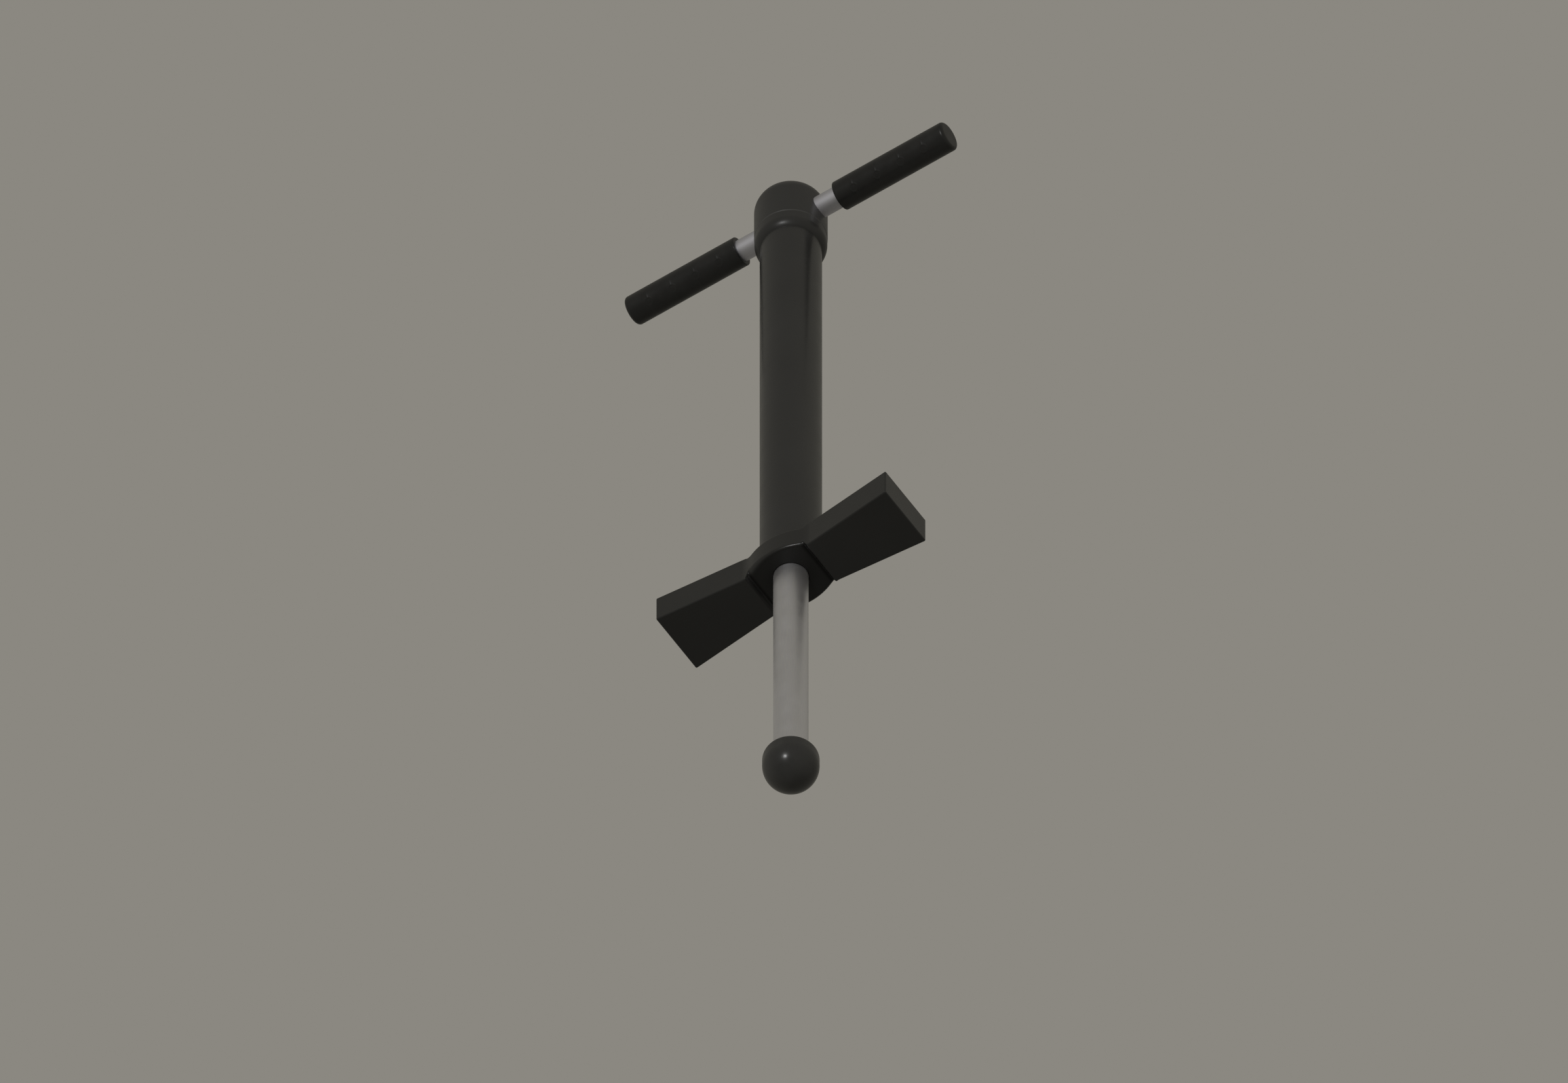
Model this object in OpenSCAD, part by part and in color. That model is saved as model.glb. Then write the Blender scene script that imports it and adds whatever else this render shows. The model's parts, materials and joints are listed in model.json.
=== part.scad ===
// Pogo stick. A plunger with a rubber tip slides inside a main tube against a coil spring.
// The tube carries a footrest at its lower end and a handlebar through a domed head.
// Millimetres, +Z up, handlebar along X, origin at the lowest point of the rubber tip.

/* [Main tube] */
// Overall height of the stick at rest
stick_h = 985.5; // [975:0.5:990]
// Outside diameter of the main tube
tube_d = 60; // [58:0.5:61]
// Wall of the main tube
tube_wall = 2; // [1.5:0.25:3]

/* [Plunger] */
// Diameter of the plunger rod
rod_d = 34; // [32:0.5:35]
// Wall of the plunger rod
rod_wall = 2.5; // [2:0.5:4]
// Height of the rod's upper end at rest
rod_top_z = 680; // [620:5:685]
// Travel of the plunger into the tube
stroke = 200; // [120:5:200]

/* [Rubber tip] */
// Diameter of the rubber tip
tip_d = 55.4; // [52:0.2:58]
// Height of the rubber tip
tip_h = 42; // [40:0.5:48]
// Rounding of the tip's upper rim
tip_rim_r = 5.5; // [3:0.5:7]

/* [Footrest] */
// Length of the footrest from end to end
footrest_l = 266; // [240:0.5:290]
// Width of a pedal at its outer end
pedal_w = 69.6; // [62:0.2:74]
// Width of a pedal where it leaves the hub
neck_w = 50.8; // [48:0.2:56]
// Thickness of a pedal
pedal_t = 35.5; // [31:0.5:39]
// Rounding of the pedal edges
pedal_edge_r = 2; // [1:0.25:3]
// Height of the hub's underside
hub_z = 347; // [340:0.5:352]
// Thickness of the hub
hub_t = 28; // [26:0.5:30]
// Width of the hub from front to back
hub_w = 69.4; // [67:0.2:71]

/* [Head] */
// Diameter of the head cap
head_d = 70.8; // [68:0.2:74]
// Corner radius of the domed top
dome_r = 22; // [16:0.5:24]
// Height of the joint line between cap and collar
head_split_z = 921; // [918:0.5:924]

/* [Handlebar] */
// Diameter of the handlebar tube
bar_d = 22.2; // [20:0.2:23]
// Wall of the handlebar tube
bar_wall = 2; // [1.5:0.25:3]
// Length of the handlebar over its grips
bar_l = 368; // [340:1:420]
// Height of the handlebar's axis
bar_z = 949.3; // [947:0.1:951]
// Diameter of a grip
grip_d = 30.2; // [28:0.2:34]
// Length of a grip
grip_l = 127; // [110:1:130]

/* [Spring] */
// Wire diameter of the main spring
wire_d = 6; // [5:0.5:6.5]
// Mean diameter of the main spring
coil_d = 44; // [43:0.5:46]
// Number of turns, closed end turns included
turns = 26; // [20:1:28]

/* [Hidden] */
$fn = 96;

// Clearances: running, assembled and loose on a radius, and between stacked faces.
run_fit = 0.05;
seat_fit = 0.03;
loose_fit = 0.2;
stack_gap = 0.1;
// Overshoot that lets a cut pass cleanly through a face.
over = 1;

// Colours
satin_grey = [0.19, 0.19, 0.18];
nylon_grey = [0.17, 0.17, 0.16];
black_rubber = [0.09, 0.09, 0.09];
tip_rubber_grey = [0.14, 0.14, 0.13];
bare_steel = [0.64, 0.64, 0.63];
washer_steel_grey = [0.55, 0.55, 0.54];
spring_steel_grey = [0.45, 0.46, 0.47];
screw_steel_grey = [0.25, 0.25, 0.26];
aluminium_grey = [0.75, 0.75, 0.72];
plug_black = [0.12, 0.12, 0.12];
acetal_white = [0.82, 0.82, 0.78];
urethane_orange = [0.75, 0.35, 0.12];

// Main tube
tube_r = tube_d / 2;
tube_bore_r = tube_r - tube_wall;

// Rubber tip and rod
rod_r = rod_d / 2;
rod_bore_r = rod_r - rod_wall;
tip_r = tip_d / 2;
tip_washer_t = 3;
tip_sole_t = 13;
rod_z0 = tip_sole_t + tip_washer_t + stack_gap;
rod_cap_t = 4;
rod_cap_stem_l = 20;

// Footrest hub, from below: thin lip, wiper seal, bushing flange, tube end
lip_t = 2;
lip_gap = 0.7;
seal_t = 5;
seal_r = 23;
seal_z0 = hub_z + lip_t;
seal_lip_out = 2.5;
seal_lip_up = 1.2;
flange_t = 3;
bushing_z0 = seal_z0 + seal_t + stack_gap;
tube_z0 = bushing_z0 + flange_t + stack_gap;
bushing_l = 48;
bushing_z1 = tube_z0 + bushing_l;
hub_half_l = 33.5;

// Pedals and their tread pads
pedal_drop = 4;
pedal_z0 = hub_z - pedal_drop;
pedal_z1 = pedal_z0 + pedal_t;
pedal_overlap = 1;
edge_sides = 32;
tread_x0 = 42;
tread_inset = 6;
tread_corner = 4;
tread_t = 3;
tread_sunk = 2.5;
tread_z0 = pedal_z1 - tread_sunk;
tread_groove_w = 3;
tread_groove_deep = 1.5;
tread_grooves = 8;
tread_rim = 5;

// Screws that fix the footrest to the tube and bushing
foot_screw_r = 2.5;
foot_screw_head_r = 4.75;
foot_screw_head_t = 2.6;
foot_screw_head_taper = 1.5;
foot_screw_head_clear = 0.4;
foot_screw_socket_af = 3;
foot_screw_socket_deep = 2;
foot_screw_l = 13;
foot_screw_hole_l = 15;
foot_screw_up = 19;
foot_screw_z = hub_z + foot_screw_up;
foot_screw_angles = [68, 112];
foot_screw_seat_r = hub_w / 2;

// Plunger stack above the bushing
bumper_slack = 1;
rebound_t = 10;
rebound_z0 = bushing_z1 + stack_gap;
rebound_z1 = rebound_z0 + rebound_t;
collar_l = 30;
collar_z0 = rebound_z1 + stack_gap;
collar_z1 = collar_z0 + collar_l;
pin_d = 6;
pin_l = 52;
pin_z = collar_z0 + collar_l / 2;
washer_t = 3;
washer_z0 = collar_z1 + stack_gap;
washer_z1 = washer_z0 + washer_t;

// Head: core, spring seat and bottom-out bumper
tube_above_bar = 16.7;
tube_z1 = bar_z + tube_above_bar;
core_below = 30;
core_inset = 1;
core_z0 = bar_z - core_below;
core_z1 = tube_z1 - core_inset;
seat_t = 4;
seat_z0 = core_z0 - stack_gap - seat_t;
bumper_r = 16;
bumper_stem_r = 6;
bumper_stem_in = 14;
bumper_stem_z1 = core_z0 + bumper_stem_in;
bumper_z1 = seat_z0 - stack_gap;
bumper_z0 = rod_top_z + rod_cap_t + stroke + 2 * stack_gap;
cap_wall = 5;
head_r = head_d / 2;
split_chamfer_w = 1.5;
split_chamfer_deep = 0.5;
lip_step = 0.1;
lip_r = head_r - lip_step;
lip_curve_r = 13;
lip_curve_down = 9;
lip_foot_down = 19.2;
lip_curve_z = head_split_z - lip_curve_down;
lip_foot_z = head_split_z - lip_foot_down;
set_screw_r = 4;
set_screw_clear = 0.5;
set_screw_sunk = 1;
set_screw_socket_af = 4;
set_screw_socket_deep = 4;

// Handlebar and grips
bar_r = bar_d / 2;
bar_bore_r = bar_r - bar_wall;
grip_r = grip_d / 2;
grip_end_t = 4;
grip_end_r = 4;
grip_mouth_r = 1;
grip_x0 = bar_l / 2 - grip_l;
plug_flange_t = 2;
plug_stem_l = 12;
bar_tube_l = bar_l - 2 * (grip_end_t + plug_flange_t + 2 * stack_gap);

// Main spring between the washer and the upper seat
spring_z0 = washer_z1 + stack_gap;
spring_z1 = seat_z0 - stack_gap;
dead_turns = 1.25;
dead_gap = 0.4;
dead_pitch = wire_d + dead_gap;
wire_sides = 8;
steps_per_turn = 16;

// Solid of revolution between two heights with a bore.
module ring(outer_r, inner_r, z0, z1) {
    translate([0, 0, z0]) difference() {
        cylinder(r = outer_r, h = z1 - z0);
        translate([0, 0, -over]) cylinder(r = inner_r, h = z1 - z0 + 2 * over);
    }
}

// Cylinder along X, centred on the main axis at the handlebar's height.
module along_bar(r, l) {
    translate([-l / 2, 0, bar_z]) rotate([0, 90, 0]) cylinder(r = r, h = l);
}

// Half section, axis on the left, of a bar whose far outer corner is rounded.
module round_end_section(r, l, corner) {
    square([r, l - corner]);
    square([r - corner, l]);
    translate([r - corner, l - corner]) intersection() {
        circle(r = corner);
        square(corner);
    }
}

// Stands a section-made solid up along +X at the handlebar's height.
module lay_along_bar(x0) {
    translate([x0, 0, bar_z]) rotate([0, 90, 0]) children();
}

module outer_tube() {
    color(satin_grey) difference() {
        ring(tube_r, tube_bore_r, tube_z0, tube_z1);
        along_bar(bar_r + seat_fit, 2 * tube_r + 2 * over);
        head_screw_cut(set_screw_r + set_screw_clear);
        foot_screw_cuts(foot_screw_r + loose_fit);
    }
}

// Radial cut for the set screw, towards the back of the head.
module head_screw_cut(r) {
    translate([0, 0, bar_z]) rotate([-90, 0, 0]) cylinder(r = r, h = head_r + over);
}

// Radial cuts for the footrest screws, towards the back of the hub.
module foot_screw_cuts(r) {
    for (a = foot_screw_angles)
        rotate([0, 0, a]) translate([tube_bore_r - over, 0, foot_screw_z])
            rotate([0, 90, 0]) cylinder(r = r, h = tube_r);
}

module head_cap() {
    cap_l = stick_h - head_split_z;
    color(satin_grey) difference() {
        translate([0, 0, head_split_z]) rotate_extrude() difference() {
            round_end_section(head_r, cap_l, dome_r);
            polygon([
                [head_r - split_chamfer_deep, 0],
                [head_r, split_chamfer_w],
                [head_r + over, split_chamfer_w],
                [head_r + over, -over],
                [head_r - split_chamfer_deep, -over]
            ]);
        }
        cap_hollow();
        along_bar(bar_r + seat_fit, head_d + 2 * over);
        head_screw_cut(set_screw_r + set_screw_clear);
    }
}

// Room inside the cap: the tube's socket, then a dome above the tube's end.
module cap_hollow() {
    socket_l = tube_z1 + stack_gap - head_split_z;
    translate([0, 0, head_split_z - over])
        cylinder(r = tube_r + seat_fit, h = socket_l + over);
    dome_l = stick_h - cap_wall - head_split_z;
    translate([0, 0, head_split_z]) rotate_extrude() intersection() {
        round_end_section(head_r - cap_wall, dome_l, dome_r - cap_wall);
        square([tube_bore_r - over, dome_l]);
    }
}

module head_collar() {
    top_z = head_split_z - stack_gap;
    color(satin_grey) rotate_extrude() difference() {
        intersection() {
            union() {
                translate([0, lip_curve_z]) square([lip_r, top_z - lip_curve_z]);
                translate([lip_r - lip_curve_r, lip_curve_z])
                    circle(r = lip_curve_r);
            }
            translate([0, lip_foot_z]) square([lip_r, top_z - lip_foot_z]);
        }
        translate([0, lip_foot_z - over])
            square([tube_r + seat_fit, top_z - lip_foot_z + 2 * over]);
        polygon([
            [lip_r - split_chamfer_deep, top_z],
            [lip_r, top_z - split_chamfer_w],
            [lip_r + over, top_z - split_chamfer_w],
            [lip_r + over, top_z + over],
            [lip_r - split_chamfer_deep, top_z + over]
        ]);
    }
}

module head_core() {
    color(aluminium_grey) difference() {
        translate([0, 0, core_z0])
            cylinder(r = tube_bore_r - seat_fit, h = core_z1 - core_z0);
        along_bar(bar_r + seat_fit, tube_d);
        head_screw_cut(set_screw_r + seat_fit);
        translate([0, 0, core_z0 - over])
            cylinder(r = bumper_stem_r + seat_fit, h = bumper_stem_z1 - core_z0 + 2 * over);
    }
}

module handlebar_set_screw() {
    y0 = bar_r + stack_gap;
    y1 = head_r - set_screw_sunk;
    color(screw_steel_grey) translate([0, y0, bar_z]) rotate([-90, 0, 0]) difference() {
        cylinder(r = set_screw_r, h = y1 - y0);
        translate([0, 0, y1 - y0 - set_screw_socket_deep])
            hex_socket(set_screw_socket_af, set_screw_socket_deep + over);
    }
}

module handlebar_tube() {
    color(bare_steel) difference() {
        along_bar(bar_r, bar_tube_l);
        along_bar(bar_bore_r, bar_tube_l + 2 * over);
    }
}

// Plug that closes the right end of the handlebar tube.
module bar_plug() {
    x0 = bar_tube_l / 2;
    color(plug_black) lay_along_bar(x0) union() {
        translate([0, 0, stack_gap]) cylinder(r = bar_r - loose_fit, h = plug_flange_t);
        translate([0, 0, -plug_stem_l])
            cylinder(r = bar_bore_r - seat_fit, h = plug_stem_l + stack_gap);
    }
}

module left_bar_plug() {
    mirror([1, 0, 0]) bar_plug();
}

module right_bar_plug() {
    bar_plug();
}

// Rubber grip on the right: closed outer end and rolled mouth.
module grip() {
    color(black_rubber) lay_along_bar(grip_x0) rotate_extrude() difference() {
        union() {
            translate([0, grip_mouth_r])
                round_end_section(grip_r, grip_l - grip_mouth_r, grip_end_r);
            square([grip_r - grip_mouth_r, grip_mouth_r]);
            translate([grip_r - grip_mouth_r, grip_mouth_r]) circle(r = grip_mouth_r);
        }
        translate([0, -over]) square([bar_r + seat_fit, grip_l - grip_end_t + over]);
    }
}

module left_grip() {
    mirror([1, 0, 0]) grip();
}

module right_grip() {
    grip();
}

module upper_spring_seat() {
    color(washer_steel_grey)
        ring(tube_bore_r - run_fit, bumper_stem_r + loose_fit, seat_z0, seat_z0 + seat_t);
}

module bottom_out_bumper() {
    color(urethane_orange) union() {
        translate([0, 0, bumper_z0]) cylinder(r = bumper_r, h = bumper_z1 - bumper_z0);
        translate([0, 0, bumper_z0]) cylinder(r = bumper_stem_r, h = bumper_stem_z1 - bumper_z0);
    }
}

// Height of the wire's centre after t turns: closed turns at each end, open ones between.
function coil_z(t) =
    let (
        lead = spring_z1 - spring_z0 - wire_d,
        open_pitch = (lead - 2 * dead_turns * dead_pitch) / (turns - 2 * dead_turns),
        low = min(t, dead_turns),
        mid = max(0, min(t, turns - dead_turns) - dead_turns),
        high = max(0, t - (turns - dead_turns))
    )
    spring_z0 + wire_d / 2 + dead_pitch * (low + high) + open_pitch * mid;

// One point on the wire's surface, at t turns along and angle a around the section.
function coil_point(t, a) =
    let (r = coil_d / 2 + wire_d / 2 * cos(a))
    [r * cos(360 * t), r * sin(360 * t), coil_z(t) + wire_d / 2 * sin(a)];

module main_spring() {
    steps = turns * steps_per_turn;
    points = [
        for (i = [0 : steps]) for (j = [0 : wire_sides - 1])
            coil_point(i / steps_per_turn, 360 * j / wire_sides)
    ];
    skin = [
        for (i = [0 : steps - 1]) for (j = [0 : wire_sides - 1])
            let (k = (j + 1) % wire_sides, a = i * wire_sides, b = a + wire_sides)
            [a + j, a + k, b + k, b + j]
    ];
    start = [for (j = [0 : wire_sides - 1]) wire_sides - 1 - j];
    end = [for (j = [0 : wire_sides - 1]) steps * wire_sides + j];
    color(spring_steel_grey) polyhedron(points = points, faces = concat(skin, [start, end]));
}

// Half width of a pedal at distance x from the middle, less an inset.
function pedal_half_w(x, inset = 0) =
    neck_w / 2 - inset
    + (pedal_w - neck_w) / 2 * (x - hub_half_l) / (footrest_l / 2 - hub_half_l);

// Wedge-shaped pedal on the right, all edges rounded.
module pedal() {
    x0 = hub_half_l - pedal_overlap + pedal_edge_r;
    x1 = footrest_l / 2 - pedal_edge_r;
    hull() for (x = [x0, x1], side = [-1, 1], z = [pedal_z0 + pedal_edge_r, pedal_z1 - pedal_edge_r])
        translate([x, side * pedal_half_w(x, pedal_edge_r), z])
            sphere(r = pedal_edge_r, $fn = edge_sides);
}

// Plan of the tread pad on the right, grown by a margin.
module tread_plan(grow = 0) {
    x0 = tread_x0 - grow;
    x1 = footrest_l / 2 - tread_inset + grow;
    c = tread_corner;
    y0 = pedal_half_w(x0, tread_inset - grow);
    y1 = pedal_half_w(x1, tread_inset - grow);
    polygon([
        [x0, -y0 + c], [x0 + c, -y0], [x1 - c, -y1], [x1, -y1 + c],
        [x1, y1 - c], [x1 - c, y1], [x0 + c, y0], [x0, y0 - c]
    ]);
}

// Hub plan: two arcs meet the pedals' necks and bulge out at the middle.
module hub_plan() {
    rise = (hub_w - neck_w) / 2;
    arc_r = (pow(hub_half_l, 2) + pow(rise, 2)) / (2 * rise);
    intersection() {
        translate([0, hub_w / 2 - arc_r]) circle(r = arc_r);
        translate([0, arc_r - hub_w / 2]) circle(r = arc_r);
        square([2 * hub_half_l + 2 * pedal_overlap, hub_w], center = true);
    }
}

module footrest() {
    color(nylon_grey) difference() {
        union() {
            translate([0, 0, hub_z]) linear_extrude(hub_t) hub_plan();
            pedal();
            mirror([1, 0, 0]) pedal();
        }
        translate([0, 0, bushing_z0]) cylinder(r = tube_r + seat_fit, h = hub_t + pedal_t);
        translate([0, 0, seal_z0]) cylinder(r = seal_r + seat_fit, h = hub_t);
        translate([0, 0, hub_z - over]) cylinder(r = rod_r + lip_gap, h = hub_t);
        for (side = [0, 1]) mirror([side, 0, 0])
            translate([0, 0, tread_z0 - stack_gap]) linear_extrude(tread_t) tread_plan(stack_gap);
        foot_screw_cuts(foot_screw_r + loose_fit);
        for (a = foot_screw_angles)
            rotate([0, 0, a]) translate([foot_screw_seat_r, 0, foot_screw_z])
                rotate([0, 90, 0])
                    cylinder(r = foot_screw_head_r + foot_screw_head_clear, h = hub_w / 2);
    }
}

// Rubber tread on the right pedal, with ribs across the foot.
module tread_pad() {
    x1 = footrest_l / 2 - tread_inset;
    pitch = (x1 - tread_x0) / (tread_grooves + 1);
    color(black_rubber) difference() {
        translate([0, 0, tread_z0]) linear_extrude(tread_t) tread_plan();
        for (i = [1 : tread_grooves]) {
            x = tread_x0 + i * pitch;
            y = pedal_half_w(x, tread_inset + tread_rim);
            translate([x - tread_groove_w / 2, -y, tread_z0 + tread_t - tread_groove_deep])
                cube([tread_groove_w, 2 * y, tread_t]);
        }
    }
}

module left_tread_pad() {
    mirror([1, 0, 0]) tread_pad();
}

module right_tread_pad() {
    tread_pad();
}

// Button-head screw along +Z, with its seat at the origin and a hexagon socket.
module foot_screw() {
    difference() {
        union() {
            translate([0, 0, -foot_screw_l]) cylinder(r = foot_screw_r, h = foot_screw_l);
            cylinder(
                r1 = foot_screw_head_r,
                r2 = foot_screw_head_r - foot_screw_head_taper,
                h = foot_screw_head_t
            );
        }
        translate([0, 0, foot_screw_head_t - foot_screw_socket_deep])
            hex_socket(foot_screw_socket_af, foot_screw_socket_deep + over);
    }
}

// Hexagon prism with the given width across its flats.
module hex_socket(across, deep) {
    cylinder(d = across / cos(30), h = deep, $fn = 6);
}

// The two screws at the back of the hub.
module footrest_screws() {
    for (a = foot_screw_angles)
        color(screw_steel_grey) rotate([0, 0, a])
            translate([foot_screw_seat_r + stack_gap, 0, foot_screw_z]) rotate([0, 90, 0])
                foot_screw();
}

// Rubber seal with a lip that leans down the rod.
module wiper_seal() {
    bore_r = rod_r + run_fit;
    color(black_rubber) rotate_extrude() polygon([
        [seal_r, seal_z0 + stack_gap],
        [seal_r, seal_z0 + seal_t],
        [bore_r + seal_lip_out, seal_z0 + seal_t],
        [bore_r + seal_lip_out, seal_z0 + seal_t / 2],
        [bore_r, seal_z0 + seal_lip_up],
        [bore_r, seal_z0 + stack_gap]
    ]);
}

module lower_bushing() {
    color(acetal_white) difference() {
        union() {
            translate([0, 0, bushing_z0]) cylinder(r = tube_r, h = flange_t);
            translate([0, 0, bushing_z0])
                cylinder(r = tube_bore_r - seat_fit, h = bushing_z1 - bushing_z0);
        }
        translate([0, 0, bushing_z0 - over])
            cylinder(r = rod_r + run_fit, h = bushing_z1 - bushing_z0 + 2 * over);
        foot_screw_holes();
    }
}

// Blind holes in the bushing that take the footrest screws' ends.
module foot_screw_holes() {
    for (a = foot_screw_angles)
        rotate([0, 0, a]) translate([foot_screw_seat_r - foot_screw_hole_l, 0, foot_screw_z])
            rotate([0, 90, 0]) cylinder(r = foot_screw_r + seat_fit, h = foot_screw_hole_l);
}

module rebound_bumper() {
    color(urethane_orange)
        ring(tube_bore_r - bumper_slack, rod_r + bumper_slack, rebound_z0, rebound_z1);
}

module spring_washer() {
    color(washer_steel_grey)
        ring(tube_bore_r - bumper_slack, rod_r + run_fit, washer_z0, washer_z1);
}

module plunger_rod() {
    color(bare_steel) difference() {
        ring(rod_r, rod_bore_r, rod_z0, rod_top_z);
        pin_cut();
    }
}

// Cross hole for the collar's pin, along X.
module pin_cut() {
    translate([-tube_r, 0, pin_z]) rotate([0, 90, 0])
        cylinder(r = pin_d / 2 + seat_fit, h = tube_d);
}

module rod_top_cap() {
    color(plug_black) union() {
        translate([0, 0, rod_top_z + stack_gap]) cylinder(r = rod_r - loose_fit, h = rod_cap_t);
        translate([0, 0, rod_top_z - rod_cap_stem_l])
            cylinder(r = rod_bore_r - seat_fit, h = rod_cap_stem_l + rod_cap_t);
    }
}

module stop_collar() {
    color(acetal_white) difference() {
        ring(tube_bore_r - run_fit, rod_r + seat_fit, collar_z0, collar_z1);
        pin_cut();
    }
}

module collar_pin() {
    color(screw_steel_grey) translate([-pin_l / 2, 0, pin_z]) rotate([0, 90, 0])
        cylinder(r = pin_d / 2, h = pin_l);
}

// Steel disc that keeps the rod's end from cutting into the tip.
module tip_washer() {
    color(washer_steel_grey) translate([0, 0, tip_sole_t + stack_gap / 2])
        cylinder(r = rod_r - loose_fit, h = tip_washer_t);
}

// Rubber tip: half ball below, short band, rounded rim, and a socket for the rod.
module rubber_tip() {
    color(tip_rubber_grey) difference() {
        rotate_extrude() {
            intersection() {
                translate([0, tip_r]) circle(r = tip_r);
                square([tip_r, tip_r]);
            }
            translate([0, tip_r]) round_end_section(tip_r, tip_h - tip_r, tip_rim_r);
        }
        translate([0, 0, tip_sole_t]) cylinder(r = rod_r + seat_fit, h = tip_h);
    }
}

outer_tube();
head_cap();
head_collar();
head_core();
handlebar_set_screw();
handlebar_tube();
left_bar_plug();
right_bar_plug();
left_grip();
right_grip();
upper_spring_seat();
bottom_out_bumper();
main_spring();
footrest();
left_tread_pad();
right_tread_pad();
footrest_screws();
wiper_seal();
lower_bushing();
rebound_bumper();
spring_washer();
plunger_rod();
rod_top_cap();
stop_collar();
collar_pin();
tip_washer();
rubber_tip();
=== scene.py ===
"""Looks for the pogo stick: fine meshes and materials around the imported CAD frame."""

import json
import math

import bpy
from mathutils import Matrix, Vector


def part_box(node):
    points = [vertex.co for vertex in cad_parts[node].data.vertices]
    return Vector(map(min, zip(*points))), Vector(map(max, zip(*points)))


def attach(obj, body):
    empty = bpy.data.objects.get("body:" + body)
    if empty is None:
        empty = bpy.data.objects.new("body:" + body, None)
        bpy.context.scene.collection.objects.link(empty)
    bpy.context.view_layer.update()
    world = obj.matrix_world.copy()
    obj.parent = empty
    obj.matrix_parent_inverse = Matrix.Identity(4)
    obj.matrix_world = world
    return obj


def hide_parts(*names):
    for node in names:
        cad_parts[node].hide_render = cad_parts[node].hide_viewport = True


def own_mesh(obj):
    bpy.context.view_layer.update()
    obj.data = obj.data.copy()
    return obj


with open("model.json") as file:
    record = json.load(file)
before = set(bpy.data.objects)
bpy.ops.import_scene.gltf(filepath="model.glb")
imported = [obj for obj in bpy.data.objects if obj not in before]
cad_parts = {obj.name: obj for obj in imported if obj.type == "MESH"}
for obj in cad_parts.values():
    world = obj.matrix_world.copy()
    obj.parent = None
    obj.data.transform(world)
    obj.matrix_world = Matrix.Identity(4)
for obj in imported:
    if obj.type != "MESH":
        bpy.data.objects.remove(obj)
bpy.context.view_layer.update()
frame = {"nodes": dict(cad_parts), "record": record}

MM = 0.001
SEGMENTS = 160  # round the axis of a large turned piece
SHARP = 35  # degrees between faces above which an edge stays sharp
UP = Vector((0, 0, 1))
RIGHT = Vector((1, 0, 0))
BACK = Vector((0, 1, 0))


# ---------------------------------------------------------------- mesh tools

def arc(cx, cy, r, start, end, steps=10):
    """Points on an arc in a half section; angles in degrees."""
    turn = math.radians(end - start)
    first = math.radians(start)
    return [
        (cx + r * math.cos(first + turn * i / steps), cy + r * math.sin(first + turn * i / steps))
        for i in range(steps + 1)
    ]


def steps_between(a, b, step):
    """Evenly spaced values after a, up to and including b."""
    count = max(1, round(abs(b - a) / step))
    return [a + (b - a) * i / count for i in range(1, count + 1)]


def wall(r, a, b, step):
    """Half-section points along a straight wall of radius r, after height a and up to b."""
    return [(r, h) for h in steps_between(a, b, step)]


def smooth(t):
    """Smooth step from 0 to 1."""
    t = min(1.0, max(0.0, t))
    return t * t * (3 - 2 * t)


def make_object(name, verts, faces):
    """A smooth-shaded mesh object with its sharp edges marked."""
    mesh = bpy.data.meshes.new(name)
    mesh.from_pydata([tuple(v) for v in verts], [], faces)
    mesh.validate()
    mesh.shade_smooth()
    mesh.set_sharp_from_angle(angle=math.radians(SHARP))
    obj = bpy.data.objects.new(name, mesh)
    bpy.context.scene.collection.objects.link(obj)
    return obj


def turned(name, section, axis=UP, closed=True, segments=SEGMENTS, shape=None):
    """Turns a half section of (radius, height) points round an axis through the origin.

    shape, if given, changes a point's radius: shape(radius, height, angle).
    """
    side = RIGHT if abs(axis.dot(UP)) > 0.5 else -BACK
    other = axis.cross(side)
    verts = []
    rings = []
    for r, h in section:
        if r < 1e-9:
            rings.append([len(verts)] * segments)
            verts.append(axis * h)
            continue
        ring = []
        for i in range(segments):
            angle = 2 * math.pi * i / segments
            radius = shape(r, h, angle) if shape else r
            out = side * (radius * math.cos(angle)) + other * (radius * math.sin(angle))
            ring.append(len(verts))
            verts.append(axis * h + out)
        rings.append(ring)
    faces = []
    spans = len(rings) if closed else len(rings) - 1
    for k in range(spans):
        low, high = rings[k], rings[(k + 1) % len(rings)]
        for i in range(segments):
            j = (i + 1) % segments
            face = []
            for v in (low[i], low[j], high[j], high[i]):
                if v not in face:
                    face.append(v)
            if len(face) > 2:
                faces.append(face)
    return make_object(name, verts, faces)


def lift(obj, z):
    """Moves a new piece's mesh up to height z, so that its object stays at the origin."""
    for v in obj.data.vertices:
        v.co.z += z
    return obj


def cut(obj, *cutters):
    """Cuts closed meshes out of obj and deletes them."""
    for cutter in cutters:
        modifier = obj.modifiers.new("cut", "BOOLEAN")
        modifier.operation = "DIFFERENCE"
        modifier.solver = "EXACT"
        modifier.object = cutter
        bpy.context.view_layer.objects.active = obj
        bpy.ops.object.modifier_apply(modifier=modifier.name)
        mesh = cutter.data
        bpy.data.objects.remove(cutter)
        bpy.data.meshes.remove(mesh)
    obj.data.shade_smooth()
    obj.data.set_sharp_from_angle(angle=math.radians(SHARP))
    return obj


def even_normals(obj):
    """Keeps flat faces flat beside their rounded edges."""
    modifier = obj.modifiers.new("normals", "WEIGHTED_NORMAL")
    modifier.keep_sharp = True
    modifier.weight = 60
    return obj


def tube_section(outer, thick, low, high, step):
    """Closed half section of a tube with chamfered ends."""
    inner = outer - thick
    chamfered = outer - TUBE_CHAMFER
    return (
        [(inner, low), (chamfered, low), (outer, low + TUBE_CHAMFER)]
        + wall(outer, low + TUBE_CHAMFER, high - TUBE_CHAMFER, step)
        + [(chamfered, high), (inner, high)]
    )


def rod_cutter(name, radius, axis, low, high, centre_z):
    """A plain cylinder for cutting, along an axis through the height centre_z."""
    section = [(0, low), (radius, low), (radius, high), (0, high)]
    return lift(turned(name, section, axis, closed=False), centre_z)


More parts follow.
